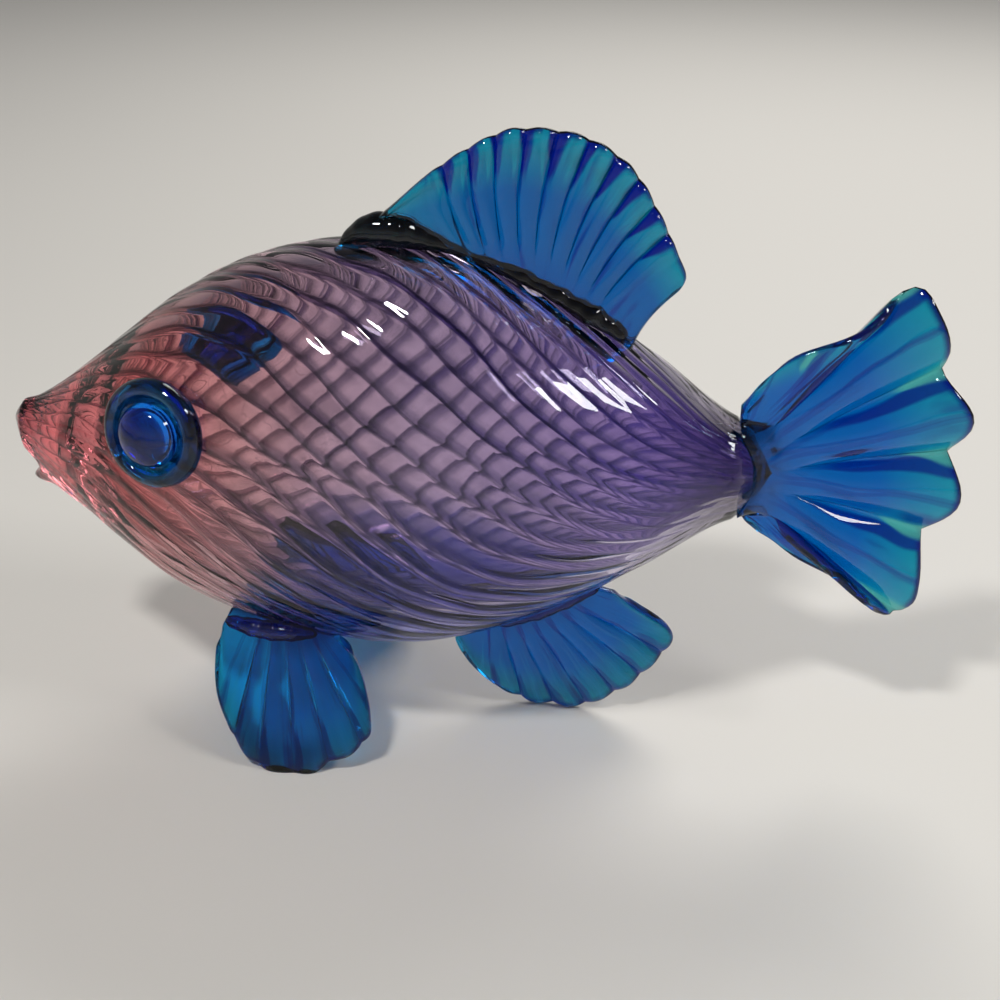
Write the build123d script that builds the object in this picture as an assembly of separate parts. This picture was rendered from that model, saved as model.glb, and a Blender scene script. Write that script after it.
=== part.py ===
from build123d import *
from math import cos, radians, sin
import os

# Hand-blown glass fish that stands on its two pectoral fins and its anal fin.
# Millimetres. The head is at -X, the fish's left side is at -Y, +Z is up.
# The origin is on the floor, under the middle of the whole fish.

# Body: one blown bubble, round at both ends and flattened in the middle
body_length = 190.0
body_height = 103.5
body_width = 75.0
snout_x = -117.5
axis_height = 73.5
wall = 3.0

# Sections from snout to tail joint, as shares: place along the body, half height, half width,
# and how far the section's centre is above the body's axis, in half heights
body_section_shares = [
    (0.000, 0.050, 0.050, 0.020),
    (0.010, 0.140, 0.120, -0.015),
    (0.035, 0.210, 0.200, -0.045),
    (0.068, 0.285, 0.330, -0.045),
    (0.110, 0.385, 0.480, -0.030),
    (0.160, 0.525, 0.640, -0.025),
    (0.235, 0.730, 0.825, -0.020),
    (0.330, 0.900, 0.935, 0.000),
    (0.445, 1.000, 0.995, 0.010),
    (0.575, 0.990, 1.000, 0.020),
    (0.715, 0.800, 0.880, 0.020),
    (0.850, 0.500, 0.640, 0.020),
    (0.940, 0.270, 0.360, 0.010),
    (1.000, 0.190, 0.260, 0.000),
]
cavity_start_share = 0.110
cavity_end_share = 0.940
# The wall thickens from here to the neck, where the bubble was necked in
neck_start_share = 0.640
neck_wall = 6.5
pipe_hole_diameter = 7.0

# Mouth: a slit sheared into the snout above a small rolled lower lip
mouth_depth = 12.0
mouth_gap = 3.2
mouth_height = 64.5
lower_lip_x = -111.8
lower_lip_height = 61.2
lower_lip_width = 12.0
lower_lip_thickness = 5.0

# Eyes: a thick round pad on each cheek, with a dome seated in it, placed by shares of the body:
# along it, of its half width, and of its half height above the axis
eye_along_share = 0.25
eye_side_share = 0.88
eye_up_share = 0.30
eye_yaw = 17.0
eye_lift = 10.0
eye_diameter = 25.6
eye_thickness = 11.0
eye_rim_radius = 3.2
pupil_diameter = 13.8
pupil_height = 4.2
pupil_seat_depth = 1.0

# Fins: a web of glass, and flattened ribs fanned over it
# Shares along a rib: place, size
rib_section_shares = [(0.0, 0.75), (0.8, 1.0), (1.0, 0.35)]
rib_root_width_share = 0.5
rib_width_share = 0.85
web_share = 0.66
root_sink = 6.0
root_bead_radius = 3.2
root_bead_shares = [(0.0, 0.4), (0.15, 1.0), (0.85, 1.0), (1.0, 0.4)]

# Dorsal fin: along the back, rim points as shares of length and rise
dorsal_front_x = -29.5
dorsal_length = 66.5
dorsal_rise = 29.0
dorsal_thickness = 4.6
dorsal_ribs = 13
dorsal_rib_span_share = (0.17, 0.80)
dorsal_fan_share = (0.28, 0.90)
dorsal_rim_shares = [
    (-0.01, -0.06),
    (0.00, 0.05),
    (0.13, 0.26),
    (0.32, 0.65),
    (0.55, 0.95),
    (0.68, 1.00),
    (0.85, 0.94),
    (0.99, 0.73),
    (1.10, 0.34),
    (1.19, -0.10),
    (1.20, -0.20),
    (1.17, -0.27),
    (1.00, -0.53),
    (0.97, -0.70),
]

# Tail fin: pleated, rim points as shares of reach and half span
tail_reach = 45.0
tail_half_span = 48.0
tail_thickness = 5.0
tail_wave = 1.6
tail_pleat_width = 12.0
tail_stub_length = 10.0
tail_root_inset = 6.0
tail_base_length = 14.0
# Tail base: place along it, half height and half thickness as shares of the neck's half height
tail_base_shares = [(0.0, 0.97, 0.97), (0.4, 1.2, 0.6), (1.0, 1.5, 0.2)]
tail_rim_shares = [
    (-0.12, 0.20),
    (-0.11, 0.32),
    (-0.01, 0.51),
    (0.11, 0.62),
    (0.36, 0.74),
    (0.47, 0.83),
    (0.62, 0.99),
    (0.68, 1.00),
    (0.75, 0.88),
    (0.86, 0.70),
    (0.86, 0.57),
    (0.98, 0.40),
    (1.00, 0.31),
    (0.95, 0.17),
    (0.97, 0.07),
    (0.99, -0.04),
    (0.98, -0.14),
    (0.87, -0.34),
    (0.84, -0.53),
    (0.83, -0.72),
    (0.77, -0.81),
    (0.63, -0.73),
    (0.46, -0.60),
    (0.18, -0.48),
    (0.00, -0.30),
    (-0.10, -0.16),
]
tail_pleat_shares = [
    (0.36, 0.66),
    (0.66, 0.94),
    (0.82, 0.65),
    (0.95, 0.35),
    (0.92, 0.12),
    (0.95, -0.10),
    (0.80, -0.42),
    (0.76, -0.74),
    (0.42, -0.52),
]

# Pectoral fins: the front feet, rim points as shares of width and length, splayed outwards
pectoral_width = 38.0
pectoral_length = 39.0
pectoral_thickness = 4.4
pectoral_ribs = 9
pectoral_along_share = 0.382
pectoral_side_share = 0.533
pectoral_height = 33.6
pectoral_splay = 28.0
pectoral_rib_span_share = (0.31, 0.77)
pectoral_root_shares = [(-0.30, -0.04), (0.30, 0.09)]
pectoral_rim_shares = [
    (-0.37, -0.18),
    (-0.42, 0.06),
    (-0.44, 0.24),
    (-0.42, 0.49),
    (-0.35, 0.67),
    (-0.21, 0.88),
    (-0.05, 0.99),
    (0.09, 1.01),
    (0.21, 0.99),
    (0.40, 0.89),
    (0.56, 0.79),
    (0.63, 0.69),
    (0.63, 0.60),
    (0.60, 0.46),
    (0.52, 0.25),
    (0.38, 0.02),
]

# Anal fin: the rear foot, points as shares of its length and of its height
anal_front_x = -4.0
anal_length = 56.0
anal_height = 36.5
anal_thickness = 4.4
anal_ribs = 10
anal_rib_span_share = (0.21, 0.77)
anal_root_shares = [(0.16, 0.70), (0.58, 0.98)]
anal_rim_shares = [
    (-0.03, 0.62),
    (0.00, 0.48),
    (0.09, 0.27),
    (0.18, 0.14),
    (0.33, 0.02),
    (0.43, -0.02),
    (0.56, -0.01),
    (0.70, 0.10),
    (0.83, 0.27),
    (0.97, 0.54),
    (1.00, 0.65),
    (0.97, 0.75),
    (0.72, 1.00),
    (0.64, 1.12),
]

# Longest cut past a surface
overrun = 60.0

half_height = body_height / 2
half_width = body_width / 2
joint_x = snout_x + body_length
os.makedirs("parts", exist_ok=True)


def mix(first, last, share):
    return first + (last - first) * share


def body_section(row, inset):
    place, height, width, lift = row
    centre = Vector(snout_x + place * body_length, 0, axis_height + lift * half_height)
    plane = Plane(origin=centre, x_dir=(0, 1, 0), z_dir=(1, 0, 0))
    return plane * Ellipse(width * half_width - inset, height * half_height - inset)


def wall_at(place):
    share = (place - neck_start_share) / (cavity_end_share - neck_start_share)
    return mix(wall, neck_wall, max(0, share))


def body_edge_height(x, side):
    # Height of the body's top (side 1) or bottom (side -1) above the floor
    place = (x - snout_x) / body_length
    for before, after in zip(body_section_shares, body_section_shares[1:]):
        if before[0] <= place <= after[0]:
            share = (place - before[0]) / (after[0] - before[0])
            height = mix(before[1], after[1], share)
            lift = mix(before[3], after[3], share)
            return axis_height + (lift + side * height) * half_height
    return axis_height


def rib(start, end, normal, width, thickness):
    # One flattened rib with a rounded tip, lying square to the normal
    path = end - start
    sideways = path.cross(normal)
    sections = []
    for place, size in rib_section_shares:
        plane = Plane(origin=start + path * place, x_dir=sideways, z_dir=path)
        half = width * size * mix(rib_root_width_share, 1, place) / 2
        sections.append(plane * Ellipse(half, thickness * size / 2))
    return loft(sections)


def bead(start, end, radius):
    # Rolled bead of glass along a fin's root
    path = end - start
    sections = []
    for place, size in root_bead_shares:
        plane = Plane(origin=start + path * place, z_dir=path)
        sections.append(plane * Circle(radius * size))
    return loft(sections)


def spread(first, last, count):
    return [mix(first, last, index / (count - 1)) for index in range(count)]


def fan(rim_points, roots, tips, normal, width, thickness, wave=0):
    # The web has the fin's outline, and the ribs lie over it
    rim = Spline(rim_points)
    outline = make_face(rim + Line(rim @ 1, rim @ 0))
    web = extrude(outline, web_share * thickness / 2, dir=normal, both=True)
    ribs = []
    for index, (root, tip) in enumerate(zip(roots, tips)):
        shift = wave if index % 2 else -wave
        ribs.append(rib(root, tip + normal * shift, normal, width, thickness))
    return web.fuse(*ribs)


def rim_tips(rim_points, span_share, count):
    # Rib tips, evenly spaced over a span of the rim, and their spacing
    rim = Spline(rim_points)
    lengths = [share * rim.length for share in spread(*span_share, count)]
    tips = [rim.position_at(length, position_mode=PositionMode.LENGTH) for length in lengths]
    return tips, lengths[1] - lengths[0]


def make_body():
    cavity = [
        body_section(row, wall_at(row[0]))
        for row in body_section_shares
        if cavity_start_share <= row[0] <= cavity_end_share
    ]
    shell = body_outer - loft(cavity)
    slit = Plane.XZ * Polygon(
        (snout_x - mouth_gap, mouth_height + mouth_gap),
        (snout_x + mouth_depth, mouth_height),
        (snout_x - mouth_gap, mouth_height - mouth_gap / 2),
        align=None,
    )
    shell -= extrude(slit, body_width / 2, both=True)
    return shell


def make_lower_lip():
    half = Plane.XY * Ellipse(lower_lip_thickness / 2, lower_lip_width / 2)
    half &= Plane.XY * Rectangle(
        lower_lip_thickness, lower_lip_width, align=(Align.MIN, Align.CENTER)
    )
    lip = revolve(half, Axis.Y)
    return Pos(lower_lip_x, 0, lower_lip_height) * lip


def make_eye():
    yaw = radians(eye_yaw)
    lift = radians(eye_lift)
    facing = Vector(-sin(yaw) * cos(lift), -cos(yaw) * cos(lift), sin(lift))
    eye_x = snout_x + eye_along_share * body_length
    eye_height = axis_height + eye_up_share * half_height
    face = Plane(origin=(eye_x, -eye_side_share * half_width, eye_height), z_dir=facing)
    pad = Cylinder(
        eye_diameter / 2, eye_thickness, align=(Align.CENTER, Align.CENTER, Align.MAX)
    )
    pad = fillet(pad.edges().filter_by(GeomType.CIRCLE).sort_by(Axis.Z)[-1], eye_rim_radius)
    seat = Cylinder(
        pupil_diameter / 2, pupil_seat_depth, align=(Align.CENTER, Align.CENTER, Align.MAX)
    )
    pad -= seat
    dome_radius = (pupil_height**2 + (pupil_diameter / 2) ** 2) / (2 * pupil_height)
    dome = Pos(0, 0, pupil_height - dome_radius) * Sphere(dome_radius)
    column = Cylinder(
        pupil_diameter / 2, pupil_height, align=(Align.CENTER, Align.CENTER, Align.MIN)
    )
    pupil = (dome & column) + seat
    return (face * pad) - body_outer, face * pupil


def make_dorsal_fin():
    crest = axis_height + half_height
    rim = [
        Vector(dorsal_front_x + along * dorsal_length, 0, crest + up * dorsal_rise)
        for along, up in dorsal_rim_shares
    ]
    tips, spacing = rim_tips(rim, dorsal_rib_span_share, dorsal_ribs)
    roots = []
    for along in spread(*dorsal_fan_share, dorsal_ribs):
        x = dorsal_front_x + along * dorsal_length
        roots.append(Vector(x, 0, body_edge_height(x, 1) - root_sink))
    width = rib_width_share * spacing
    fin = fan(rim, roots, tips, Vector(0, 1, 0), width, dorsal_thickness)
    crest_points = []
    for along in spread(0, 1, 3):
        x = dorsal_front_x + along * dorsal_length
        crest_points.append(Vector(x, 0, body_edge_height(x, 1)))
    start, middle, end = crest_points
    fin = fin.fuse(bead(start, middle, root_bead_radius), bead(middle, end, root_bead_radius))
    return fin - body_outer


def make_tail_fin():
    def place(along, up):
        return Vector(joint_x + along * tail_reach, 0, axis_height + up * tail_half_span)

    rim = [place(along, up) for along, up in tail_rim_shares]
    tips = [place(along, up) for along, up in tail_pleat_shares]
    root = Vector(joint_x - tail_root_inset, 0, axis_height)
    roots = [root] * len(tips)
    fin = fan(rim, roots, tips, Vector(0, 1, 0), tail_pleat_width, tail_thickness, tail_wave)
    neck_half = body_section_shares[-1][1] * half_height
    sections = []
    for along, tall, thick in tail_base_shares:
        centre = (joint_x + along * tail_base_length, 0, axis_height)
        plane = Plane(origin=centre, x_dir=(0, 1, 0), z_dir=(1, 0, 0))
        sections.append(plane * Ellipse(thick * neck_half, tall * neck_half))
    fin = fin.fuse(loft(sections)) - body_outer
    stub = Cylinder(
        pipe_hole_diameter / 2,
        tail_stub_length,
        align=(Align.CENTER, Align.CENTER, Align.MAX),
    )
    return fin + Plane(origin=(joint_x, 0, axis_height), z_dir=(1, 0, 0)) * stub


def make_left_pectoral_fin():
    splay = radians(pectoral_splay)
    down = Vector(0, -sin(splay), -cos(splay))
    pectoral_x = snout_x + pectoral_along_share * body_length
    centre = Vector(pectoral_x, -pectoral_side_share * half_width, pectoral_height)
    normal = Vector(1, 0, 0).cross(down)

    def place(along, below):
        return centre + Vector(1, 0, 0) * along * pectoral_width + down * below * pectoral_length

    rim = [place(along, below) for along, below in pectoral_rim_shares]
    tips, spacing = rim_tips(rim, pectoral_rib_span_share, pectoral_ribs)
    first, last = [place(along, below) for along, below in pectoral_root_shares]
    roots = [point - down * root_sink for point in spread(first, last, pectoral_ribs)]
    fin = fan(rim, roots, tips, normal, rib_width_share * spacing, pectoral_thickness)
    fin = fin.fuse(bead(first, last, root_bead_radius))
    return on_floor(fin - body_outer)


def make_anal_fin():
    def place(along, up):
        return Vector(anal_front_x + along * anal_length, 0, up * anal_height)

    rim = [place(along, up) for along, up in anal_rim_shares]
    tips, spacing = rim_tips(rim, anal_rib_span_share, anal_ribs)
    first, last = [place(along, up) for along, up in anal_root_shares]
    roots = spread(first, last, anal_ribs)
    fin = fan(rim, roots, tips, Vector(0, 1, 0), rib_width_share * spacing, anal_thickness)
    return on_floor(fin - body_outer)


def on_floor(fin):
    # The foot is ground flat where it stands
    return fin - Pos(0, 0, -overrun / 2) * Box(4 * overrun, 4 * overrun, overrun)


body_outer = loft([body_section(row, 0) for row in body_section_shares]) + make_lower_lip()
eye_pad, eye_pupil = make_eye()
tail_fin = make_tail_fin()
pectoral_fin = make_left_pectoral_fin()
pipe_hole = Plane(origin=(joint_x, 0, axis_height), z_dir=(-1, 0, 0)) * Cylinder(
    pipe_hole_diameter / 2, overrun, align=(Align.CENTER, Align.CENTER, Align.MIN)
)
parts = {
    "body_shell": make_body() - pipe_hole,
    "left_eye_pad": eye_pad,
    "left_eye_pupil": eye_pupil,
    "right_eye_pad": mirror(eye_pad, about=Plane.XZ),
    "right_eye_pupil": mirror(eye_pupil, about=Plane.XZ),
    "dorsal_fin": make_dorsal_fin(),
    "tail_fin": tail_fin,
    "left_pectoral_fin": pectoral_fin,
    "right_pectoral_fin": mirror(pectoral_fin, about=Plane.XZ),
    "anal_fin": make_anal_fin(),
}
for name, shape in parts.items():
    export_step(shape, f"parts/{name}.step")
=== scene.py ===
import bpy
from math import cos, exp, pi, radians, sin, sqrt
from mathutils import Matrix, Vector


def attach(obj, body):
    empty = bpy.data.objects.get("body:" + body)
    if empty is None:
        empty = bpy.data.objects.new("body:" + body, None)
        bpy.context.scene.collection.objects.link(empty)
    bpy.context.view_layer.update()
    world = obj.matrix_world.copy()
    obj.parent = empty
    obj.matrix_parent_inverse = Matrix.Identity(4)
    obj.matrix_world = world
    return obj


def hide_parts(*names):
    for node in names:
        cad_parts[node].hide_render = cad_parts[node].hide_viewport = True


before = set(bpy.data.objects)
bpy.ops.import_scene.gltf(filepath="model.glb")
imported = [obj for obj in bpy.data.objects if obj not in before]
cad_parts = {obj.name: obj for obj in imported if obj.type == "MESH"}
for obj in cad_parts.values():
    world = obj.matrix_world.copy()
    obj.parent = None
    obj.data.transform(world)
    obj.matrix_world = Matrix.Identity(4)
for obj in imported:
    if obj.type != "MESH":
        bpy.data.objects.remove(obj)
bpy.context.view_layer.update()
bpy.ops.object.select_all(action="DESELECT")
mm = 0.001
sides = ((-1, "left"), (1, "right"))  # the fish's left is towards -Y


def mix(first, last, share):
    return first + (last - first) * share


def smooth(low, high, value):
    # 0 up to low, 1 from high on, and an easy rise between them
    share = min(1, max(0, (value - low) / (high - low)))
    return share * share * (3 - 2 * share)


def roundEnd(away, reach, least=0):
    # a quarter round: from 0 at an end to 1 at its reach away from the end
    return sqrt(max(least, 1 - max(0, 1 - away / reach) ** 2))


def unevenness(waves, u, v):
    # waves laid over each other, each with its height and its counts across and along
    return sum(height * sin(2 * pi * (across * u + along * v)) for height, across, along in waves)


def softLine(rows, place):
    # the values at a place on a soft line through rows of (place, value, value...)
    rounding = 1e-9
    place = min(rows[-1][0], max(rows[0][0], place))
    index = max(i for i in range(len(rows) - 1) if rows[i][0] <= place + rounding)
    before, after = rows[index], rows[index + 1]
    left = rows[index - 1] if index else before
    right = rows[index + 2] if index + 2 < len(rows) else after
    span = after[0] - before[0]
    t = (place - before[0]) / span
    found = []
    for column in range(1, len(before)):
        slopeBefore = (after[column] - left[column]) / (after[0] - left[0])
        slopeAfter = (right[column] - before[column]) / (right[0] - before[0])
        found.append(
            (2 * t**3 - 3 * t**2 + 1) * before[column]
            + (t**3 - 2 * t**2 + t) * slopeBefore * span
            + (-2 * t**3 + 3 * t**2) * after[column]
            + (t**3 - t**2) * slopeAfter * span
        )
    return found


def curvePoint(points, share):
    # a point on the soft line through the points, share 0 to 1 of the way along it
    lengths = [0]
    for before, after in zip(points, points[1:]):
        lengths.append(lengths[-1] + (Vector(after) - Vector(before)).length)
    rows = [(length, *point) for length, point in zip(lengths, points)]
    return Vector(softLine(rows, share * lengths[-1]))


def hexColour(text):
    # sRGB hex to the linear colour that Blender's sockets take
    values = [int(text[i : i + 2], 16) / 255 for i in (1, 3, 5)]
    return [v / 12.92 if v <= 0.04045 else ((v + 0.055) / 1.055) ** 2.4 for v in values] + [1]


# settings that many nodes share
multiply = {"operation": "MULTIPLY"}
larger = {"operation": "MAXIMUM"}
softStep = {"interpolation_type": "SMOOTHSTEP"}
ofColours = {"data_type": "RGBA"}  # a Mix node's sockets are then 0, the share, and 6 and 7, the colours


def addNode(tree, kind, settings=None, inputs=None, stops=None):
    # one node: its settings, its inputs, as a list in the sockets' order or by their names or numbers, and
    # a ramp's stops. A socket given as an input is linked, and so is a node, by its first output in use
    node = tree.nodes.new(kind)
    for key, value in (settings or {}).items():
        setattr(node, key, value)
    given = enumerate(inputs) if isinstance(inputs, list) else (inputs or {}).items()
    for key, value in given:
        if isinstance(value, bpy.types.Node):
            value = next(socket for socket in value.outputs if socket.enabled)
        if isinstance(value, bpy.types.NodeSocket):
            tree.links.new(value, node.inputs[key])
        else:
            node.inputs[key].default_value = value
    if stops:
        elements = node.color_ramp.elements
        elements[0].position, elements[1].position = stops[0][0], stops[-1][0]
        for spot, value in stops[1:-1]:
            elements.new(spot)
        for element, (spot, value) in zip(elements, stops):
            element.color = hexColour(value) if isinstance(value, str) else (value, value, value, 1)
    return node


def newGlass(name, plan):
    # clear glass: light goes through it, and its base colour is its tint
    material = bpy.data.materials.new(name)
    material.use_nodes = True
    shader = material.node_tree.nodes["Principled BSDF"]
    shader.inputs["Transmission Weight"].default_value = 1
    shader.inputs["Roughness"].default_value = plan["roughness"]
    shader.inputs["IOR"].default_value = plan["ior"]
    return material, material.node_tree, shader


def flecked(tree, noise, stops):
    # a noise on the object's coordinates, turned to colour
    spot = addNode(tree, "ShaderNodeTexCoord").outputs["Object"]
    speckle = addNode(tree, "ShaderNodeTexNoise", inputs={"Vector": spot, **noise})
    return addNode(tree, "ShaderNodeValToRGB", inputs=[speckle], stops=stops)


def grid(name, across, along, toPlace):
    # a primitive grid whose points are moved to toPlace(u, v), with its UV map kept
    bpy.ops.object.select_all(action="DESELECT")
    bpy.ops.mesh.primitive_grid_add(x_subdivisions=across, y_subdivisions=along, size=1)
    piece = bpy.context.object
    piece.name = name
    for vertex in piece.data.vertices:
        vertex.co = toPlace(vertex.co.x + 0.5, vertex.co.y + 0.5)
    return piece


def selectOnly(*pieces):
    bpy.ops.object.select_all(action="DESELECT")
    for piece in pieces:
        piece.select_set(True)
    bpy.context.view_layer.objects.active = pieces[0]


def closeUp(piece, inside=False):
    # merges the seams and poles, and turns the faces out, or in for a hollow
    selectOnly(piece)
    bpy.ops.object.mode_set(mode="EDIT")
    bpy.ops.mesh.select_all(action="SELECT")
    bpy.ops.mesh.remove_doubles(threshold=0.002 * mm)
    bpy.ops.mesh.normals_make_consistent(inside=inside)
    bpy.ops.object.mode_set(mode="OBJECT")
    bpy.ops.object.shade_smooth()


def applyModifiers(piece):
    selectOnly(piece)
    for modifier in list(piece.modifiers):
        bpy.ops.object.modifier_apply(modifier=modifier.name)


def coat(piece, glass):
    piece.data.materials.clear()
    piece.data.materials.append(glass)


def fit(piece, slot, *nodes):
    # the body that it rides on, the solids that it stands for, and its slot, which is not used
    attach(piece, "root")
    if nodes:
        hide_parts(*nodes)


# Blown soda glass in two layers. The casing is fire polished and clear: it mirrors the room in sharp
# streaks, bends what lies behind it, and shows only fine lines of painted shade, dark colour in the creases
casingGlass = {
    # from the snout to the tail: the ribs' colour, and the dark of the painted crease shade, clouds and
    # threads
    "cells": [
        (0.0, "#4a161c"), (0.012, "#b45a64"), (0.07, "#f0787e"), (0.14, "#f4888c"), (0.26, "#f0bec4"),
        (0.5, "#dccce4"), (0.84, "#d8d0ec"), (0.94, "#948e9c"), (1.0, "#807a84"),
    ],
    "creaseShadeAndThreads": [
        (0.0, "#300408"), (0.1, "#58061a"), (0.25, "#480a26"), (0.4, "#1c0e34"), (0.7, "#1c1048"),
        (0.86, "#5c5094"), (1.0, "#a8a0c4"),
    ],
    # across a rib, how much painted shade of the crease's colour lies there
    "paintedRibShade": [
        (0.0, 1.0), (0.07, 1.0), (0.11, 0.5), (0.2, 0.25), (0.36, 0.0), (0.96, 0.0), (0.98, 0.6),
        (1.0, 1.0),
    ],
    "weakest": 0.6,  # the share of the painted shade that the palest rib shows
    "clouds": 0.0,
    "threads": 0.0,
    "paintedRootBlue": "#7c84e0",  # painted blue, standing in for the blue fin roots below seen bent through the wall
}
# The core's colour was picked up on the inside of the bubble, rose to violet. The light crosses it twice,
# so it looks deep and soft, and painted shade darkens it along the lower side of each rib
coreGlass = {
    "cells": [
        (0.0, "#f8b8b8"), (0.14, "#ffd2ce"), (0.24, "#fcdcd6"), (0.36, "#e4d4da"), (0.6, "#d4c4da"),
        (0.8, "#b09cd0"), (0.9, "#8c70c4"), (1.0, "#5840ac"),
    ],
    "creaseShadeAndThreads": [
        (0.0, "#48040f"), (0.14, "#5c061a"), (0.26, "#420c2c"), (0.38, "#221044"), (0.6, "#1e105c"),
        (0.85, "#1c107c"), (1.0, "#1c108c"),
    ],
    "paintedRibShade": [
        (0.0, 1.0), (0.14, 0.98), (0.28, 0.84), (0.38, 0.4), (0.56, 0.0), (0.95, 0.0), (0.985, 0.5),
        (1.0, 1.0),
    ],
    "weakest": 0.8,
    "clouds": 0.6,
    "threads": 0.85,
    "paintedRootBlue": "#2c38b4",
}
# What both layers share. Places along are shares of the body's length
bodyGlass = {
    "roughness": 0.012,
    "ior": 1.48,
    "headEnd": (0.02, 0.36),  # between these the ribs draw apart
    "paintedRibShadeRead": (0.5, 1.0),  # how much of the painted shade a rib shows, at the snout and behind the head
    "cloud": {"Scale": 1 / (13 * mm), "Detail": 2.0},
    "cloudEdge": (0.45, 0.72),  # the noise from where a cloud begins to where it is full
    "thread": {"Scale": 1 / (8 * mm), "Detail": 1.0, "Distortion": 0.8},
    "threadEdge": (0.004, 0.02),  # how far from the noise's middle a thread is full, and ends
    "threadsEnd": (0.2, 0.45),
    # the painted blue of the fin roots seen through the wall: its height, front and rear, and strength
    "paintedRootBlueHeight": (46 * mm, 28 * mm),  # from its upper edge down to its full strength
    "paintedRootBlueFront": (-64 * mm, -42 * mm),
    "paintedRootBlueRear": (20 * mm, 50 * mm),
    "paintedRootBlueStrength": 0.95,
}


def makeBodyGlass(name, layer):
    material, tree, shader = newGlass(name, bodyGlass)
    uv = addNode(tree, "ShaderNodeUVMap", {"uv_map": "ribs"})
    parts = addNode(tree, "ShaderNodeSeparateXYZ", inputs=[uv])
    ribs, along = parts.outputs[0], parts.outputs[1]
    spot = addNode(tree, "ShaderNodeTexCoord").outputs["Object"]
    # at the head, where the ribs draw together, the lines of painted shade take up more of each
    within = addNode(tree, "ShaderNodeMath", {"operation": "FRACT"}, [ribs])
    ends, shares = bodyGlass["headEnd"], bodyGlass["paintedRibShadeRead"]
    read = addNode(tree, "ShaderNodeMapRange", inputs=[along, *ends, *shares])
    line = addNode(tree, "ShaderNodeMath", multiply, [within, read])
    paintedRibShade = addNode(tree, "ShaderNodeValToRGB", inputs=[line], stops=layer["paintedRibShade"])
    # no two ribs show quite the same strength of painted shade
    rib = addNode(tree, "ShaderNodeMath", {"operation": "FLOOR"}, [ribs])
    chance = addNode(tree, "ShaderNodeTexWhiteNoise", {"noise_dimensions": "1D"}, {"W": rib})
    level = addNode(tree, "ShaderNodeMapRange", inputs=[chance.outputs["Value"], 0, 1, layer["weakest"], 1])
    lines = addNode(tree, "ShaderNodeMath", multiply, [paintedRibShade.outputs[0], level])
    cloud = addNode(tree, "ShaderNodeTexNoise", inputs={"Vector": spot, **bodyGlass["cloud"]})
    edge = bodyGlass["cloudEdge"]
    clouds = addNode(tree, "ShaderNodeMapRange", inputs=[cloud, *edge, 0, layer["clouds"]])
    shadeOrClouds = addNode(tree, "ShaderNodeMath", larger, [clouds, lines])
    # crumpled threads of crimson in the head, where a noise crosses its middle
    thread = addNode(tree, "ShaderNodeTexNoise", inputs={"Vector": spot, **bodyGlass["thread"]})
    off = addNode(tree, "ShaderNodeMath", {"operation": "SUBTRACT"}, [thread, 0.5])
    away = addNode(tree, "ShaderNodeMath", {"operation": "ABSOLUTE"}, [off])
    edge = bodyGlass["threadEdge"]
    threads = addNode(tree, "ShaderNodeMapRange", inputs=[away, *edge, layer["threads"], 0])
    head = addNode(tree, "ShaderNodeMapRange", inputs=[along, *bodyGlass["threadsEnd"], 1, 0])
    crumpled = addNode(tree, "ShaderNodeMath", multiply, [threads, head])
    amount = addNode(tree, "ShaderNodeMath", larger, [shadeOrClouds, crumpled])
    # painted shade in the creases, the clouds and the crimson threads all lay the dark colour over the
    # cells
    cells = addNode(tree, "ShaderNodeValToRGB", inputs=[along], stops=layer["cells"])
    creaseShadeAndThreads = addNode(tree, "ShaderNodeValToRGB", inputs=[along], stops=layer["creaseShadeAndThreads"])
    colour = addNode(tree, "ShaderNodeMix", ofColours, {0: amount, 6: cells, 7: creaseShadeAndThreads})
    # painted blue low on the belly, between the roots of the front and rear feet: the blue fin roots seen
    # bent through the wall
    parts = addNode(tree, "ShaderNodeSeparateXYZ", inputs=[spot])
    ahead, up = parts.outputs[0], parts.outputs[2]
    strength = bodyGlass["paintedRootBlueStrength"]
    low = addNode(tree, "ShaderNodeMapRange", softStep, [up, *bodyGlass["paintedRootBlueHeight"], 0, strength])
    front = addNode(tree, "ShaderNodeMapRange", softStep, [ahead, *bodyGlass["paintedRootBlueFront"], 0, 1])
    rear = addNode(tree, "ShaderNodeMapRange", softStep, [ahead, *bodyGlass["paintedRootBlueRear"], 1, 0])
    between = addNode(tree, "ShaderNodeMath", multiply, [front, rear])
    paintedRootBlue = addNode(tree, "ShaderNodeMath", multiply, [low, between])
    withPaintedRootBlue = addNode(tree, "ShaderNodeMix", ofColours, {0: paintedRootBlue, 6: colour, 7: hexColour(layer["paintedRootBlue"])})
    tree.links.new(withPaintedRootBlue.outputs[2], shader.inputs["Base Color"])
    return material


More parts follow.
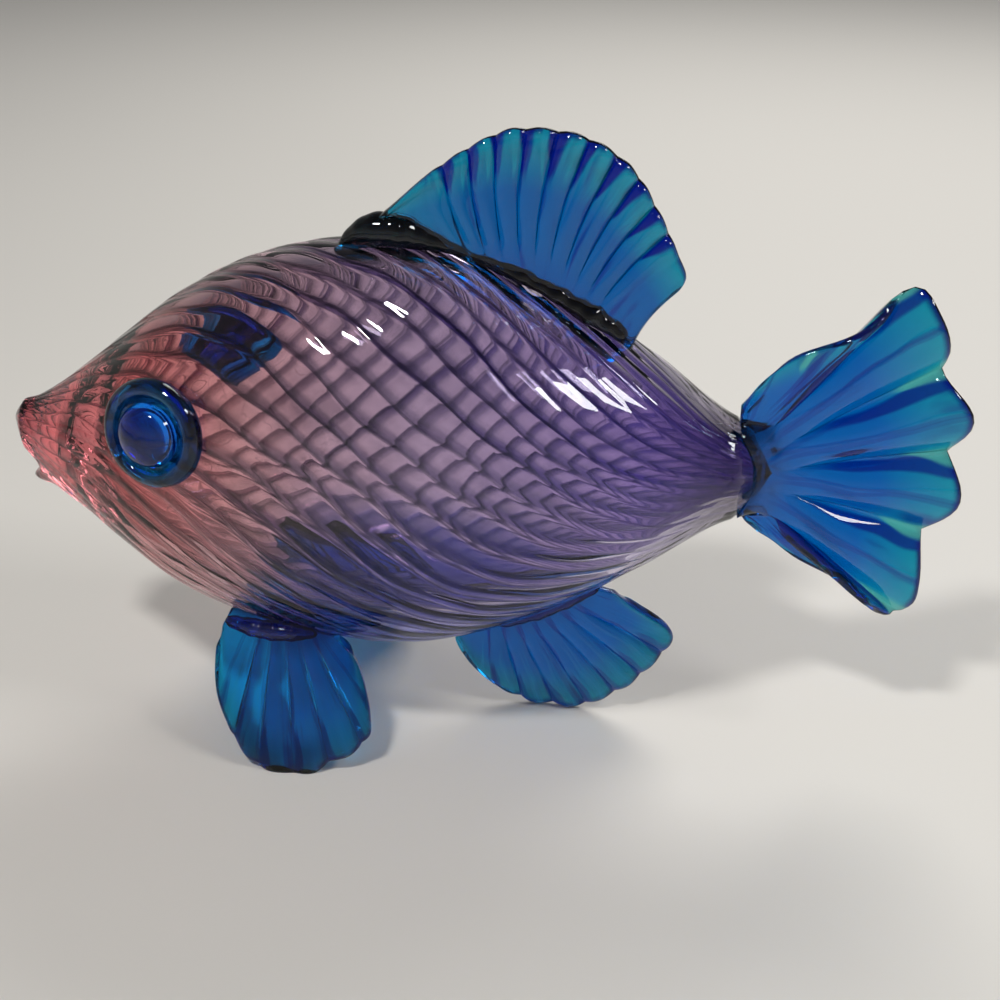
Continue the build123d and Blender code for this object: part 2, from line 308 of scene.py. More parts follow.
# The blown body. Sizes in mm, and places along as shares of its length
body = {
    "snoutX": -117.5,
    "length": 190.0,
    "halfHeight": 51.75,
    "halfWidth": 37.5,
    "axisHeight": 73.5,
    # place along the body, and shares of its half height and half width: half height, half width, and
    # lift of the centre
    "sections": [
        (0.000, 0.050, 0.050, 0.020),
        (0.010, 0.140, 0.120, -0.015),
        (0.035, 0.210, 0.200, -0.045),
        (0.068, 0.285, 0.330, -0.045),
        (0.110, 0.385, 0.480, -0.030),
        (0.160, 0.525, 0.640, -0.025),
        (0.235, 0.730, 0.825, -0.020),
        (0.330, 0.900, 0.935, 0.000),
        (0.445, 1.000, 0.995, 0.010),
        (0.575, 0.990, 1.000, 0.020),
        (0.715, 0.800, 0.880, 0.020),
        (0.850, 0.500, 0.640, 0.020),
        (0.940, 0.270, 0.360, 0.010),
        (1.000, 0.190, 0.260, 0.000),
    ],
    "bunching": 0.6,  # how far the rows draw together at the snout and the neck
    "snoutRound": 0.015,  # length over which the snout closes
    "neckRound": 0.045,  # the same for the neck's end, which is inside the tail's root
    "neckRoundPower": 1.5,
    "wall": 3.0,
    "neckWall": 6.5,
    "neckStart": 0.64,  # from here on the wall thickens
    "cavity": (0.085, 0.985),
    "cavityRounds": (0.13, 0.015),  # shares of its own length: round at the front, less so in the neck
    "ribs": 33,
    "turns": 0.5,  # how far the ribs were twisted round, from snout to tail
    "wobble": 0.10,  # how unevenly they run, in ribs
    "wobbleFade": 1.7,  # less the place along, so that the head is the most uneven
    "wobbles": [(1.0, 3, 2.3), (0.7, 7, -4.1), (0.5, 11, 9)],
    "lean": 0.8,  # below 1 a rib's crown leans to its lower side
    "sink": 0.6,  # how far the creases go into the wall, as a share of the relief
    # relief in mm from crease to crown, the share of it that is left at the snout and the neck, where
    # it fades, and the grid's columns in a rib and rows
    "outside": {
        "relief": 0.5, "snout": 0.25, "snoutFade": (0.04, 0.32), "neck": 0.1, "neckFade": (0.7, 0.92),
        "columns": 8, "rows": 210,
    },
    "inside": {
        "relief": 0.36, "snout": 0.0, "snoutFade": (0.085, 0.193), "neck": 0.15, "neckFade": (0.7, 0.95),
        "columns": 6, "rows": 130,
    },
    # the mouth is pressed with a flat egg: half length, half width and half height, place, and degrees
    "mouth": {"size": (6.0, 8.0, 0.6), "place": (-112.0, 0, 64.2), "tilt": 4, "segments": 48, "rings": 24},
    # the lips were drawn out of the soft glass: place, reach of the pull, and the pull
    "lips": [
        ((-114.6, 0, 64.9), 2.8, (6.4, 0, 0.6)),
        ((-116.4, 0, 67.8), 2.2, (1.2, 0, 0)),
        ((-110.8, 0, 60.2), 2.9, (-3.8, 0, -0.7)),
        ((-117, 0, 75.5), 4.5, (-0.5, 0, 1.4)),
    ],
    "lipAcross": 0.5,  # a way across the lips counts as half, so the pulls are wider than they are tall
}


def bunch(v):
    return mix(v, 0.5 - 0.5 * cos(pi * v), body["bunching"])


def ribAngle(u, along):
    # each rib is a strip of the grid, twisted round, and hand work leaves it a little uneven
    uneven = body["wobble"] * (body["wobbleFade"] - along) * unevenness(body["wobbles"], u, along)
    return 2 * pi * (u - body["turns"] * along - uneven / body["ribs"])


def ribHeight(skin, u, along):
    # a crown that is fullest near the lower side of the rib, and a sharp crease
    crown = sin(pi * (u * body["ribs"] % 1) ** body["lean"]) - body["sink"]
    snout = mix(skin["snout"], 1, smooth(*skin["snoutFade"], along))
    neck = mix(1, skin["neck"], smooth(*skin["neckFade"], along))
    return skin["relief"] * crown * snout * neck


def bodyPoint(skin, u, along, inset, close):
    # a point on the ribbed wall, inset in mm from the outline, and drawn to the middle where it closes
    tall, wide, lift = softLine(body["sections"], along)
    out = ribHeight(skin, u, along) - inset
    angle = ribAngle(u, along)
    side = -cos(angle) * (wide * body["halfWidth"] + out) * close
    up = sin(angle) * (tall * body["halfHeight"] + out) * close
    centre = body["axisHeight"] + lift * body["halfHeight"]
    return Vector((body["snoutX"] + along * body["length"], side, centre + up))


def pressMouth(piece):
    plan = body["mouth"]
    bpy.ops.object.select_all(action="DESELECT")
    bpy.ops.mesh.primitive_uv_sphere_add(segments=plan["segments"], ring_count=plan["rings"], radius=1)
    egg = bpy.context.object
    size = Matrix.Diagonal((*[value * mm for value in plan["size"]], 1))
    turn = Matrix.Rotation(radians(plan["tilt"]), 4, "Y")
    egg.data.transform(Matrix.Translation(Vector(plan["place"]) * mm) @ turn @ size)
    press = piece.modifiers.new("mouth", "BOOLEAN")
    press.operation = "DIFFERENCE"
    press.object = egg
    press.solver = "EXACT"
    applyModifiers(piece)
    bpy.data.objects.remove(egg)


def addRibUvs(piece, toAlong):
    # a second UV map: ribs counted round the body, and the place along it
    spots = [corner.uv.copy() for corner in piece.data.uv_layers[0].data]
    ribs = piece.data.uv_layers.new(name="ribs")
    for corner, spot in zip(ribs.data, spots):
        corner.uv = (body["ribs"] * spot.x, toAlong(spot.y))


def makeBody():
    outside, inside = body["outside"], body["inside"]

    def outerPlace(u, v):
        along = bunch(v)
        start = sqrt(min(1, along / body["snoutRound"]))
        closing = max(0, along - 1 + body["neckRound"]) / body["neckRound"]
        end = max(0, 1 - closing ** body["neckRoundPower"])
        point = bodyPoint(outside, u, along, 0, start * end)
        for spot, reach, pull in body["lips"]:
            away = point - Vector(spot)
            away.y *= body["lipAcross"]
            point += Vector(pull) * exp(-((away.length / reach) ** 2))
        return point * mm

    def innerAlong(v):
        return mix(*body["cavity"], bunch(v))

    def innerPlace(u, v):
        along = innerAlong(v)
        thicker = max(0, (along - body["neckStart"]) / (1 - body["neckStart"]))
        nose, neck = body["cavityRounds"]
        close = roundEnd(bunch(v), nose) * roundEnd(1 - bunch(v), neck)
        return bodyPoint(inside, u, along, mix(body["wall"], body["neckWall"], thicker), close) * mm

    casing = makeBodyGlass("blown soda glass, clear casing", casingGlass)
    core = makeBodyGlass("blown soda glass, rose to violet core", coreGlass)
    outer = grid("body", body["ribs"] * outside["columns"], outside["rows"], outerPlace)
    addRibUvs(outer, bunch)
    closeUp(outer)
    pressMouth(outer)
    coat(outer, casing)
    inner = grid("cavity", body["ribs"] * inside["columns"], inside["rows"], innerPlace)
    addRibUvs(inner, innerAlong)
    closeUp(inner, inside=True)
    coat(inner, core)
    selectOnly(outer, inner)
    bpy.ops.object.join()
    bpy.ops.object.shade_smooth()
    fit(outer, "body_glass", "body_shell")


# Lampworked coloured glass, drawn in the flame: transparent blue with wet, smooth highlights, cobalt
# where it is thick and teal where it is thin. Places are shares of the fan, across it and out
finGlass = {
    "roughness": 0.012,
    "ior": 1.44,
    "cobalt": "#001a90",
    "teal": "#0c98b8",
    # from the root out to the rim; "web" stands for each fin's own blue
    "outward": [
        (0.0, "#021030"), (0.07, "#0058b0"), (0.3, "web"), (0.62, "web"), (0.96, "#0c98b8"),
        (0.985, "#04287c"), (1.0, "#04287c"),
    ],
    "frontEnd": 0.4,  # how far across the teal of the front edge goes
    # two noises stretched over the fan: their counts across a rib and out, and how fine they are
    "drift": (0.9, 2.5, 1.0),
    "streaks": (2.6, 1.5, 3.0),
    "driftRange": (0.3, 0.7),
    "streakEdge": (0.56, 0.74),
    "streakStrength": 0.75,
    "strokeCore": 0.55,  # share of a stroke's half width that has its full colour
    "strokeStart": 0.35,  # share of its reach over which it comes up
}
# How every fan is made. Places are shares of the fan, and thicknesses shares of the plan's
fan = {
    "columns": 12,  # of the grid, in each rib
    "rows": 60,
    "rowPower": 1.6,  # over 1 the rows are closer together at the rim
    "ribsBegin": (-0.06, 0.02),  # how softly the ribs begin and end, about the places in each plan
    "ribsEnd": (-0.02, 0.04),
    "plainLobe": 0.8,  # the height of a plain lobe, where a rib's goes from 0 to 1
    "rimLobe": 0.7,  # the lobe height that leaves the rim where its line is
    "webLobe": 0.6,  # and the one that leaves the web flat
    "ripplesOut": (0.14, 0.55),  # the lobes rise between these
    "crease": 0.45,  # thickness where the lobe height is 0
    "crown": 0.75,  # and where it is 1
    "rootLobe": 0.7,  # the lobe height that sets the thickness at the root
    "crownsOut": (0.1, 0.45),
    "thinOut": (0.1, 0.8),
    "rootOut": 0.2,  # the thick root ends here
    "roll": (0.12, 0.9, 0.07),  # a roll of glass inside the rim: its height, place and reach
    "rimRound": 0.05,  # the rim and the sides are rounded over these, down to the least
    "rimLeast": 0.03,
    "sideRound": 0.012,
    "sideLeast": 0.05,
}
# Each fin's plan. Lines are points in mm in the fin's own plane, along and out, and the rest is in mm or
# in shares of the fan:
# plain, lobes: the strokes of colour and the lobes lie between these
# uneven, calm: how far the strokes wander, and how wide the flatter sides are
# rootThick, rimThin: the thickness there, times the plain one
# wave, pleats, twist: height, count and start of the slow waves
# ripple, scallop, bend: height of the lobes, how far they stand out at the rim, and how far the fan bows
# tooth, vein, light: where in the rib, half width at both ends, from where to where out, and how strong;
# the light is a pale stroke along each rib, the teal of thin glass and partly a painted highlight
# spread: from the place along the rim to the place along the root
fins = {
    "dorsal": {
        "ribs": 15, "plain": (0.26, 0.9), "lobes": (0.26, 0.9), "uneven": 0.10, "calm": 0.1,
        "thickness": 5.6, "rootThick": 1.0, "rimThin": 0.8, "wave": 0.5, "pleats": 2, "twist": 0.1,
        "ripple": 0.9, "scallop": 0.02, "bend": -1.5,
        "tooth": (0.1, (0.03, 0.40), (0.62, 1.0), 1.0),
        "vein": (0.0, (0.06, 0.10), (0.12, 1.0), 0.75),
        "light": (0.72, (0.03, 0.14), (0.66, 0.96), 0.7),
        "highlightLineColour": "#10a0c4", "web": "#0062b4", "frontTeal": 0.6,
        "spread": [(0, 0), (0.28, 0.46), (0.9, 0.86), (1, 1)],
        "root": [(-31, 122), (-10, 126), (10, 119), (26, 111), (38, 103)],
        "rim": [
            (-29, 128), (-21, 133), (-8, 144), (7, 153), (16, 154.3), (27, 152.5), (36.4, 146.3),
            (43.6, 135.1), (48, 126), (49.8, 121.5), (48.6, 118.4),
        ],
    },
    "tail": {
        "ribs": 8, "plain": (-1, 2), "lobes": (0.22, 0.8), "uneven": 0.05, "calm": 0.07,
        "thickness": 5.2, "rootThick": 3.0, "rimThin": 0.6, "wave": 1.2, "pleats": 3, "twist": 0.0,
        "ripple": 4.6, "scallop": 0.05, "bend": 0.0,
        "tooth": (0.12, (0.05, 0.13), (0.2, 1.0), 0.85),
        "vein": (0.5, (0.12, 0.04), (0.03, 0.6), 0.6),
        "light": (0.98, (0.03, 0.16), (0.72, 0.99), 0.7),
        "highlightLineColour": "#54c0b4", "web": "#0066c0", "frontTeal": 0.0,
        "spread": [(0, 0), (1, 1)],
        "root": [(64.5, 84.6), (67.2, 79), (68.2, 73.5), (67.6, 68), (65.4, 62.6)],
        "rim": [
            (64.5, 90.5), (74.6, 103.4), (88.2, 109.4), (93.6, 113.3), (100.4, 121), (103.1, 121.5),
            (106.2, 115.7), (110.7, 107), (111.2, 100.8), (116.2, 92.7), (117, 88.4), (115.2, 81.7),
            (116, 76.9), (117, 71.6), (116.6, 66.8), (111.6, 57.2), (110.3, 48), (110, 39), (107, 34.6),
            (100.8, 38.5), (93.2, 44.7), (80.6, 50.5), (68, 60),
        ],
    },
    "pectoral": {
        "place": (-45, 20, 33.6), "splay": 28,  # the root's place beside the middle, and degrees outwards
        "ribs": 10, "plain": (0.2, 0.82), "lobes": (0.3, 0.72), "uneven": 0.10, "calm": 0.06,
        "thickness": 5.2, "rootThick": 1.0, "rimThin": 0.8, "wave": 0.4, "pleats": 2, "twist": 0.3,
        "ripple": 0.7, "scallop": 0.03, "bend": 0.0,
        "tooth": (0.1, (0.04, 0.22), (0.66, 1.0), 0.7),
        "vein": (0.0, (0.08, 0.08), (0.02, 1.0), 0.55),
        "light": (0.6, (0.04, 0.12), (0.3, 0.96), 0.4),
        "highlightLineColour": "#18b0e8", "web": "#00a8ff", "frontTeal": 0.1,
        "spread": [(0, 0), (1, 1)],
        "root": [(-13.5, -2), (0, -1), (13.5, 3)],
        "rim": [
            (-15.6, 2.3), (-16.7, 9.4), (-16, 19), (-13.3, 26), (-8, 34.3), (-2, 38.4), (3.4, 39),
            (8, 38.6), (15, 34.7), (21.3, 30.8), (23.9, 27), (23.9, 23.4), (22.8, 18), (19.8, 9.8),
            (14.6, 3),
        ],
    },
    "anal": {
        "ribs": 11, "plain": (0.14, 0.78), "lobes": (0.24, 0.76), "uneven": 0.10, "calm": 0.06,
        "thickness": 5.2, "rootThick": 1.0, "rimThin": 0.8, "wave": 0.4, "pleats": 2, "twist": 0.2,
        "ripple": 0.7, "scallop": 0.015, "bend": 0.0,
        "tooth": (0.1, (0.03, 0.24), (0.66, 1.0), 0.8),
        "vein": (0.0, (0.15, 0.03), (0.05, 0.6), 0.8),
        "light": (0.6, (0.03, 0.12), (0.35, 0.96), 0.4),
        "highlightLineColour": "#18a0e0", "web": "#006ccc", "frontTeal": 0.1,
        "spread": [(0, 0), (1, 1)],
        "root": [(-3, 27), (8, 29), (20, 34), (31, 38)],
        "rim": [
            (-5, 20), (-1, 12), (6, 5), (14.5, 0.8), (20, 0.4), (28, 0.6), (35, 4), (42.5, 9.8),
            (50.3, 19.7), (52, 24), (50.3, 27.4), (44, 31.8), (36, 37),
        ],
    },
}


def about(spot, ease):
    return [spot + part for part in ease]


def makeFinGlass(plan):
    material, tree, shader = newGlass("lampworked blue glass", finGlass)
    uv = addNode(tree, "ShaderNodeUVMap")
    parts = addNode(tree, "ShaderNodeSeparateXYZ", inputs=[uv])
    across, out = parts.outputs[0], parts.outputs[1]
    noises = []
    for count, run, detail in (finGlass["drift"], finGlass["streaks"]):
        scale = (plan["ribs"] * count, run, 1)
        stretched = addNode(tree, "ShaderNodeMapping", inputs={"Vector": uv, "Scale": scale})
        inputs = {"Vector": stretched, "Scale": 1, "Detail": detail}
        noises.append(addNode(tree, "ShaderNodeTexNoise", inputs=inputs))
    drift, streak = noises
    # ribs drawn by hand: the count across the fan, nudged by the slow drift
    nudges = (-plan["uneven"], plan["uneven"])
    nudge = addNode(tree, "ShaderNodeMapRange", inputs=[drift, *finGlass["driftRange"], *nudges])
    phase = addNode(tree, "ShaderNodeMath", {"operation": "MULTIPLY_ADD"}, [across, plan["ribs"], nudge])
    # the plain front and rear lobes have no strokes
    first, last = plan["plain"]
    begun = addNode(tree, "ShaderNodeMapRange", softStep, [across, *about(first, fan["ribsBegin"]), 0, 1])
    ended = addNode(tree, "ShaderNodeMapRange", softStep, [across, *about(last, fan["ribsEnd"]), 1, 0])
    ribbed = addNode(tree, "ShaderNodeMath", multiply, [begun, ended])
    strokes = []
    for spot, widths, reach, strength in (plan["tooth"], plan["vein"], plan["light"]):
        moved = addNode(tree, "ShaderNodeMath", {"operation": "ADD"}, [phase, 1 - spot])
        away = addNode(tree, "ShaderNodeMath", {"operation": "PINGPONG"}, [moved, 0.5])
        width = addNode(tree, "ShaderNodeMapRange", inputs=[out, *reach, *widths])
        core = addNode(tree, "ShaderNodeMath", multiply, [width, finGlass["strokeCore"]])
        stroke = addNode(tree, "ShaderNodeMapRange", softStep, [away, core, width, 1, 0])
        up = mix(*reach, finGlass["strokeStart"])
        grow = addNode(tree, "ShaderNodeMapRange", softStep, [out, reach[0], up, 0, strength])
        shown = addNode(tree, "ShaderNodeMath", multiply, [stroke, grow])
        strokes.append(addNode(tree, "ShaderNodeMath", multiply, [shown, ribbed]))
    tooth, vein, light = strokes
    # streaks of cobalt drawn out from the root
    edge, strength = finGlass["streakEdge"], finGlass["streakStrength"]
    dark = addNode(tree, "ShaderNodeMapRange", softStep, [streak, *edge, 0, strength])
    lines = addNode(tree, "ShaderNodeMath", larger, [vein, dark])
    cobalt = addNode(tree, "ShaderNodeMath", larger, [tooth, lines])
    front = addNode(
        tree, "ShaderNodeMapRange", softStep, [across, 0, finGlass["frontEnd"], plan["frontTeal"], 0]
    )
    # each colour is laid over the ones before it, last the light stroke, which is partly a painted
    # highlight
    stops = [(spot, plan.get(colour, colour)) for spot, colour in finGlass["outward"]]
    colour = addNode(tree, "ShaderNodeValToRGB", inputs=[out], stops=stops).outputs[0]
    layers = ((front, finGlass["teal"]), (cobalt, finGlass["cobalt"]), (light, plan["highlightLineColour"]))
    for share, over in layers:
        inputs = {0: share, 6: colour, 7: hexColour(over)}
        colour = addNode(tree, "ShaderNodeMix", ofColours, inputs).outputs[2]
    tree.links.new(colour, shader.inputs["Base Color"])
    return material


def makeFan(name, plan, origin, outAxis, material, node):
    # a ribbed fan: a grid from the root line out to the rim, rippled, then given its thickness
    alongAxis = Vector((1, 0, 0))
    normal = alongAxis.cross(outAxis)
    across, along = plan["ribs"] * fan["columns"], fan["rows"]

    def reach(v):
        return 1 - (1 - v) ** fan["rowPower"]

    def lobeAt(u):
        first, last = plan["lobes"]
        begun = smooth(*about(first, fan["ribsBegin"]), u)
        ended = smooth(*about(last, fan["ribsEnd"]), u)
        return mix(fan["plainLobe"], abs(sin(pi * plan["ribs"] * u)), begun * (1 - ended))

    def fanPlace(u, v):
        out = reach(v)
        root = curvePoint(plan["root"], softLine(plan["spread"], u)[0])
        rim = curvePoint(plan["rim"], u)
        rim = root + (rim - root) * (1 + plan["scallop"] * (lobeAt(u) - fan["rimLobe"]))
        flat = root + (rim - root) * out
        flat.x += plan["bend"] * sin(pi * out)
        wave = plan["wave"] * sin(2 * pi * (plan["pleats"] * u + plan["twist"])) * smooth(0, 1, out)
        ripple = plan["ripple"] * (lobeAt(u) - fan["webLobe"]) * smooth(*fan["ripplesOut"], out)
        edge = smooth(0, plan["calm"], min(u, 1 - u))  # the sides of the fan lie flatter
        return (origin + alongAxis * flat.x + outAxis * flat.y + normal * (wave + ripple) * edge) * mm

    def thicknessAt(u, out):
        lobe = mix(fan["rootLobe"], lobeAt(u), smooth(*fan["crownsOut"], out))
        thick = mix(fan["crease"], fan["crown"], lobe)
        thick *= mix(1, plan["rimThin"], smooth(*fan["thinOut"], out))
        thick *= mix(plan["rootThick"], 1, smooth(0, fan["rootOut"], out))
        height, spot, width = fan["roll"]
        thick *= 1 + height * exp(-(((out - spot) / width) ** 2))
        thick *= roundEnd(1 - out, fan["rimRound"], fan["rimLeast"])
        return thick * sqrt(min(1, min(u, 1 - u) / fan["sideRound"] + fan["sideLeast"]))

    piece = grid(name, across, along, fanPlace)
    for corner in piece.data.uv_layers[0].data:
        corner.uv.y = reach(corner.uv.y)
    group = piece.vertex_groups.new(name="thickness")
    for index in range(len(piece.data.vertices)):
        thick = thicknessAt(index % (across + 1) / across, reach(index // (across + 1) / along))
        group.add([index], min(1, thick / plan["rootThick"]), "REPLACE")
    wall = piece.modifiers.new("wall", "SOLIDIFY")
    wall.thickness = plan["thickness"] * plan["rootThick"] * mm
    wall.offset = 0
    wall.vertex_group = "thickness"
    applyModifiers(piece)
    for vertex in piece.data.vertices:
        vertex.co.z = max(0, vertex.co.z)  # the foot is ground flat where it stands
    closeUp(piece)
    coat(piece, material)
    fit(piece, "fin_glass", node)


def makeFins():
    middle, up = Vector((0, 0, 0)), Vector((0, 0, 1))
    for name in ("dorsal", "tail", "anal"):
        makeFan(name + "Fin", fins[name], middle, up, makeFinGlass(fins[name]), name + "_fin")
    plan = fins["pectoral"]
    glass = makeFinGlass(plan)
    splay = radians(plan["splay"])
    x, y, z = plan["place"]
    for side, name in sides:
        out = Vector((0, side * sin(splay), -cos(splay)))
        root = Vector((x, side * y, z))
        makeFan(name + "PectoralFin", plan, root, out, glass, name + "_pectoral_fin")


# Root beads: glass trailed on hot where a fin was stuck on. It is so thick that it looks nearly opaque,
# with a highlight on each lump and flecks of the glass beside it. Places and radii in mm
beadGlass = {
    "roughness": 0.02,
    "ior": 1.5,
    "dark": "#0a1824",
    "fleck": "#2c4430",
    "blue": "#083a90",
    "blueFleck": "#1468c0",
    "flecks": {"Scale": 1 / (1.8 * mm)},
    "fleckEdge": (0.45, 0.72),
}
beads = {
    "dorsalFoot": {
        "points": [(-31.5, 0, 124.8), (-25, 0, 128.4), (-18, 0, 129.2), (-9, 0, 127.2), (0, 0, 124.6)],
        "radii": [0.5, 3.8, 4.6, 2.6, 0.8],
        "lumps": 0.03,  # their height as a share of the radius
    },
    "dorsalStrip": {
        "points": [(0, 0, 124.6), (12, 0, 119.6), (22, 0, 114.4), (31, 0, 109.2), (37, 0, 105.6)],
        "radii": [0.8, 2.2, 2.6, 3.2, 2.6],
        "lumps": 0.08,
    },
    # the right one; the left is its mirror image
    "pectoralRoot": {
        "points": [(-60, 20.5, 32.6), (-52, 21.2, 31.2), (-44, 21.4, 30.8), (-36, 21.0, 30.6)],
        "radii": [1.4, 2.4, 2.4, 1.0],
        "lumps": 0.04,
    },
    "analRoot": {
        "points": [(-2, 0, 25.2), (8, 0, 26.6), (18, 0, 30.2), (28, 0, 35.2), (33, 0, 37.6)],
        "radii": [0.8, 2.6, 2.8, 2.2, 0.8],
        "lumps": 0.06,
    },
}
# How every bead is made. Places are shares of its length
bead = {
    "columns": 24,
    "rows": 60,
    "endRound": 0.1,
    "aheadStep": 0.01,  # how far apart the two points are that give its direction, on each side
    "waves": [(1.0, 0, 4.3), (0.7, 1, 9)],
}


def makeBeadGlass(name, dark, fleck):
    material, tree, shader = newGlass(name, beadGlass)
    low, high = beadGlass["fleckEdge"]
    colour = flecked(tree, beadGlass["flecks"], [(low, dark), (high, fleck)])
    tree.links.new(colour.outputs[0], shader.inputs["Base Color"])
    return material


def makeBead(name, plan, material, mirror=1):
    points = [Vector((x, mirror * y, z)) for x, y, z in plan["points"]]
    radii = [(index / (len(points) - 1), radius) for index, radius in enumerate(plan["radii"])]

    def beadPlace(u, v):
        centre = curvePoint(points, v)
        step = bead["aheadStep"]
        ahead = curvePoint(points, min(1, v + step)) - curvePoint(points, max(0, v - step))
        side = Vector((0, 1, 0))
        up = ahead.normalized().cross(side).normalized()
        radius = softLine(radii, v)[0] * roundEnd(min(v, 1 - v), bead["endRound"])
        radius *= 1 + plan["lumps"] * unevenness(bead["waves"], u, v)
        return (centre + (side * cos(2 * pi * u) + up * sin(2 * pi * u)) * radius) * mm

    piece = grid(name, bead["columns"], bead["rows"], beadPlace)
    closeUp(piece)
    coat(piece, material)
    fit(piece, "fin_glass")


def makeBeads():
    dark = makeBeadGlass("trailed dark glass", beadGlass["dark"], beadGlass["fleck"])
    blue = makeBeadGlass("trailed deep blue glass", beadGlass["blue"], beadGlass["blueFleck"])
    makeBead("dorsalFoot", beads["dorsalFoot"], dark)
    makeBead("dorsalStrip", beads["dorsalStrip"], dark)
    for side, name in sides:
        makeBead(name + "PectoralRoot", beads["pectoralRoot"], blue, side)
    makeBead("analRoot", beads["analRoot"], blue)


# Pressed glass: thick, clear discs that gather the light at their rims. The pad is teal blue, and the
# dome on it is cobalt and works as a lens
eyeGlass = {
    "roughness": 0.012,
    "ior": 1.5,
    "pad": "#1cb4ff",
    "padPatch": "#0c70f4",
    "pupil": "#249cff",
    "pupilPatch": "#146cff",
    "patches": {"Scale": 1 / (9 * mm), "Detail": 2.0},
    "patchEdge": (0.38, 0.62),
}
# Sizes in mm and degrees, with the place of the middle of the disc's front
eye = {
    "x": -70.0,
    "side": 33.0,
    "height": 89.0,
    "yaw": 16.0,  # turned to the front
    "lift": 8.0,  # and up
    "diameter": 26.0,
    "pupil": 15.4,
    "dome": 4.2,
    "rows": 73,  # points on the outline
    "steps": 96,  # of the spin
    "merge": 0.0002,
}


def makeEyeGlass(name, plain, patch):
    material, tree, shader = newGlass(name, eyeGlass)
    low, high = eyeGlass["patchEdge"]
    colour = flecked(tree, eyeGlass["patches"], [(low, patch), (high, plain)])
    tree.links.new(colour.outputs[0], shader.inputs["Base Color"])
    return material


def spinDisc(name, outline, side):
    # a ring of points laid on the outline, and spun round the eye's own axis, in mm
    bpy.ops.object.select_all(action="DESELECT")
    bpy.ops.mesh.primitive_circle_add(vertices=eye["rows"], radius=1)
    piece = bpy.context.object
    piece.name = name
    for vertex in piece.data.vertices:
        spot = curvePoint(outline, vertex.index / (eye["rows"] - 1))
        vertex.co = (max(0, spot.x), 0, spot.y)
    bpy.ops.object.mode_set(mode="EDIT")
    bpy.ops.mesh.select_all(action="SELECT")
    bpy.ops.mesh.spin(steps=eye["steps"], angle=2 * pi, center=(0, 0, 0), axis=(0, 0, 1))
    bpy.ops.mesh.select_all(action="SELECT")
    bpy.ops.mesh.remove_doubles(threshold=eye["merge"])
    bpy.ops.mesh.delete_loose()
    bpy.ops.object.mode_set(mode="OBJECT")
    # turned to face out of the cheek
    yaw, lift = radians(eye["yaw"]), radians(eye["lift"])
    facing = Vector((-sin(yaw) * cos(lift), side * cos(yaw) * cos(lift), sin(lift)))
    turn = facing.to_track_quat("Z", "Y").to_matrix().to_4x4()
    centre = Vector((eye["x"], side * eye["side"], eye["height"]))
    piece.data.transform(Matrix.Scale(mm, 4) @ Matrix.Translation(centre) @ turn)
    closeUp(piece)
    return piece


def makeEyes():
    padGlass = makeEyeGlass("pressed glass, teal blue", eyeGlass["pad"], eyeGlass["padPatch"])
    domeGlass = makeEyeGlass("pressed glass, cobalt", eyeGlass["pupil"], eyeGlass["pupilPatch"])
    rim, pupil = eye["diameter"] / 2, eye["pupil"] / 2
    # outlines from the middle of the back round to the middle of the front: radius and height
    pad = [
        (0, -7), (rim - 4, -7), (rim - 1.4, -5.6), (rim, -3.2), (rim - 0.5, -1), (rim - 2, 0.1),
        (rim - 3.4, -0.2), (pupil + 1, -1.5), (pupil - 0.4, -1.9), (pupil - 2, -1.9), (0, -1.9),
    ]
    dome = [
        (0, -1.8), (pupil - 0.8, -1.8), (pupil, -1), (pupil - 0.3, 0.2), (pupil * 0.8, 2),
        (pupil * 0.42, 3.6), (0, eye["dome"]),
    ]
    for side, name in sides:
        piece = spinDisc(name + "EyePad", pad, side)
        coat(piece, padGlass)
        fit(piece, "eye_glass", name + "_eye_pad")
        piece = spinDisc(name + "EyePupil", dome, side)
        coat(piece, domeGlass)
        fit(piece, "pupil_glass", name + "_eye_pupil")


# Studio: a pale floor, soft lamps, and the camera at the photograph's angle. Places and sizes in m
studio = {
    # board rolled with flat paint: it takes soft shadows and mirrors nothing sharply
    "floorSize": 6.0,
    "floor": "#d6d2ca",
    "floorLight": "#e2ded6",
    "floorCloud": {"Scale": 6.0},
    "floorRoughness": 0.6,
    # from below to overhead
    "sky": [(0.0, "#f0eee8"), (0.55, "#d8d6d0"), (0.75, "#8c8c90"), (1.0, "#606268")],
    "skyStrength": 0.6,
    # name, place, watts, and the size of its face
    "lamps": [
        ("keyLamp", (-0.24, -0.51, 0.96), 5.0, 0.14, 0.09),
        ("rearLamp", (0.74, -0.18, 0.78), 3.0, 0.34, 0.14),
        ("backLamp", (0.2, 0.8, 0.8), 6.0, 0.7, 0.5),
    ],
    "lampsAim": (0, 0, 0.07),
    "camera": (0.05308, -0.32788, 0.23688),
    "cameraAim": (0.007, 0, 0.06083),
    "lens": 54.0,
    "sensor": 36.0,
    "nearest": 0.01,
}


def aim(thing, spot):
    forward = Vector(spot) - thing.location
    thing.rotation_euler = forward.to_track_quat("-Z", "Y").to_euler()


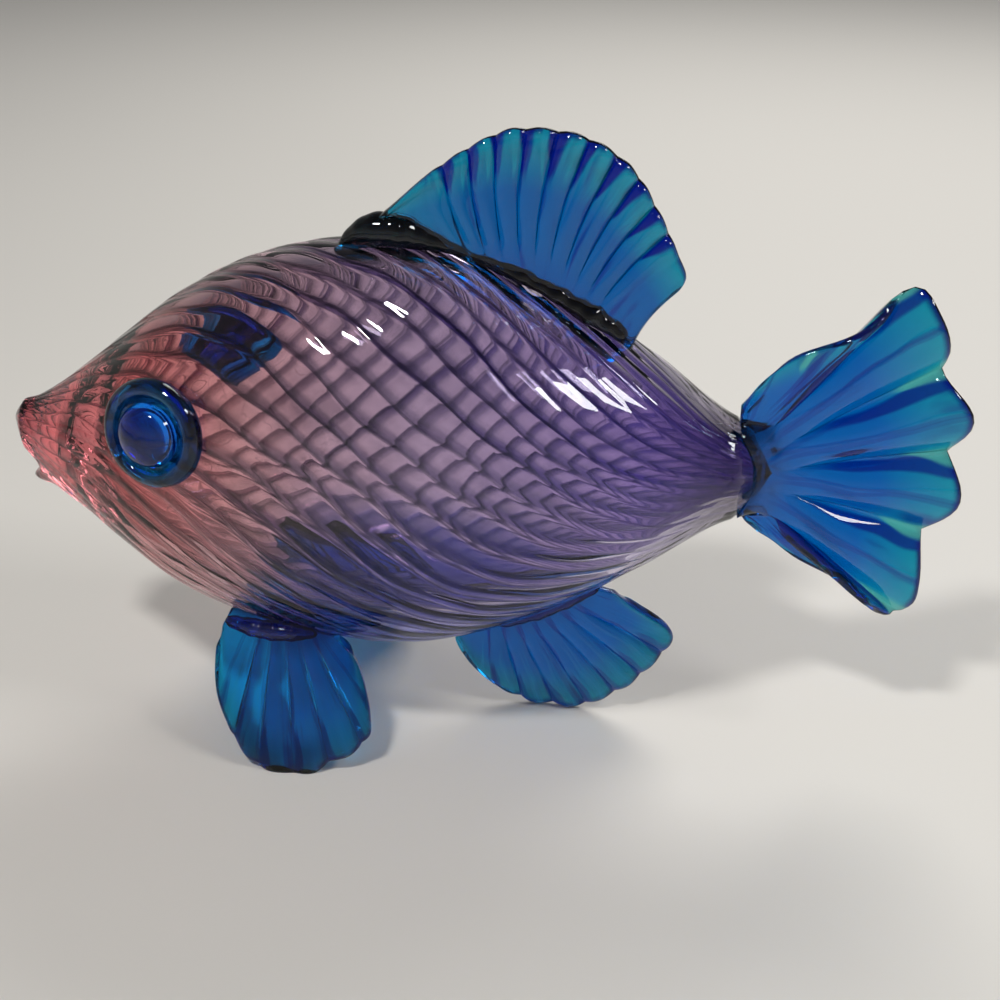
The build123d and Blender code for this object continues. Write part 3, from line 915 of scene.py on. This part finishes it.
def makeFloor():
    bpy.ops.mesh.primitive_plane_add(size=studio["floorSize"])
    ground = bpy.context.object
    ground.name = "floorPlane"
    material = bpy.data.materials.new("board with flat paint")
    material.use_nodes = True
    tree = material.node_tree
    shader = tree.nodes["Principled BSDF"]
    cloud = addNode(tree, "ShaderNodeTexNoise", inputs=studio["floorCloud"])
    stops = [(0.0, studio["floor"]), (1.0, studio["floorLight"])]
    ramp = addNode(tree, "ShaderNodeValToRGB", inputs=[cloud], stops=stops)
    tree.links.new(ramp.outputs[0], shader.inputs["Base Color"])
    shader.inputs["Roughness"].default_value = studio["floorRoughness"]
    ground.data.materials.append(material)


def makeSky():
    world = bpy.data.worlds.new("world")
    bpy.context.scene.world = world
    world.use_nodes = True
    tree = world.node_tree
    spot = addNode(tree, "ShaderNodeTexCoord")
    parts = addNode(tree, "ShaderNodeSeparateXYZ", inputs=[spot.outputs["Generated"]])
    height = addNode(tree, "ShaderNodeMapRange", inputs=[parts.outputs[2], -1, 1, 0, 1])
    sky = addNode(tree, "ShaderNodeValToRGB", inputs=[height], stops=studio["sky"])
    background = tree.nodes["Background"]
    tree.links.new(sky.outputs[0], background.inputs[0])
    background.inputs[1].default_value = studio["skyStrength"]


def makeStudio():
    makeFloor()
    makeSky()
    for name, spot, power, width, depth in studio["lamps"]:
        bpy.ops.object.light_add(type="AREA", location=spot)
        lamp = bpy.context.object
        lamp.name = name
        lamp.data.energy = power
        lamp.data.shape = "RECTANGLE"
        lamp.data.size, lamp.data.size_y = width, depth
        aim(lamp, studio["lampsAim"])
    bpy.ops.object.camera_add(location=studio["camera"])
    camera = bpy.context.object
    aim(camera, studio["cameraAim"])
    camera.data.lens = studio["lens"]
    camera.data.sensor_width = studio["sensor"]
    camera.data.clip_start = studio["nearest"]
    bpy.context.scene.camera = camera
    bpy.context.scene.view_settings.view_transform = "Standard"


makeStudio()
print("studio ready")
makeBody()
print("body ready")
makeEyes()
print("eyes ready")
makeFins()
makeBeads()
print("fins ready")
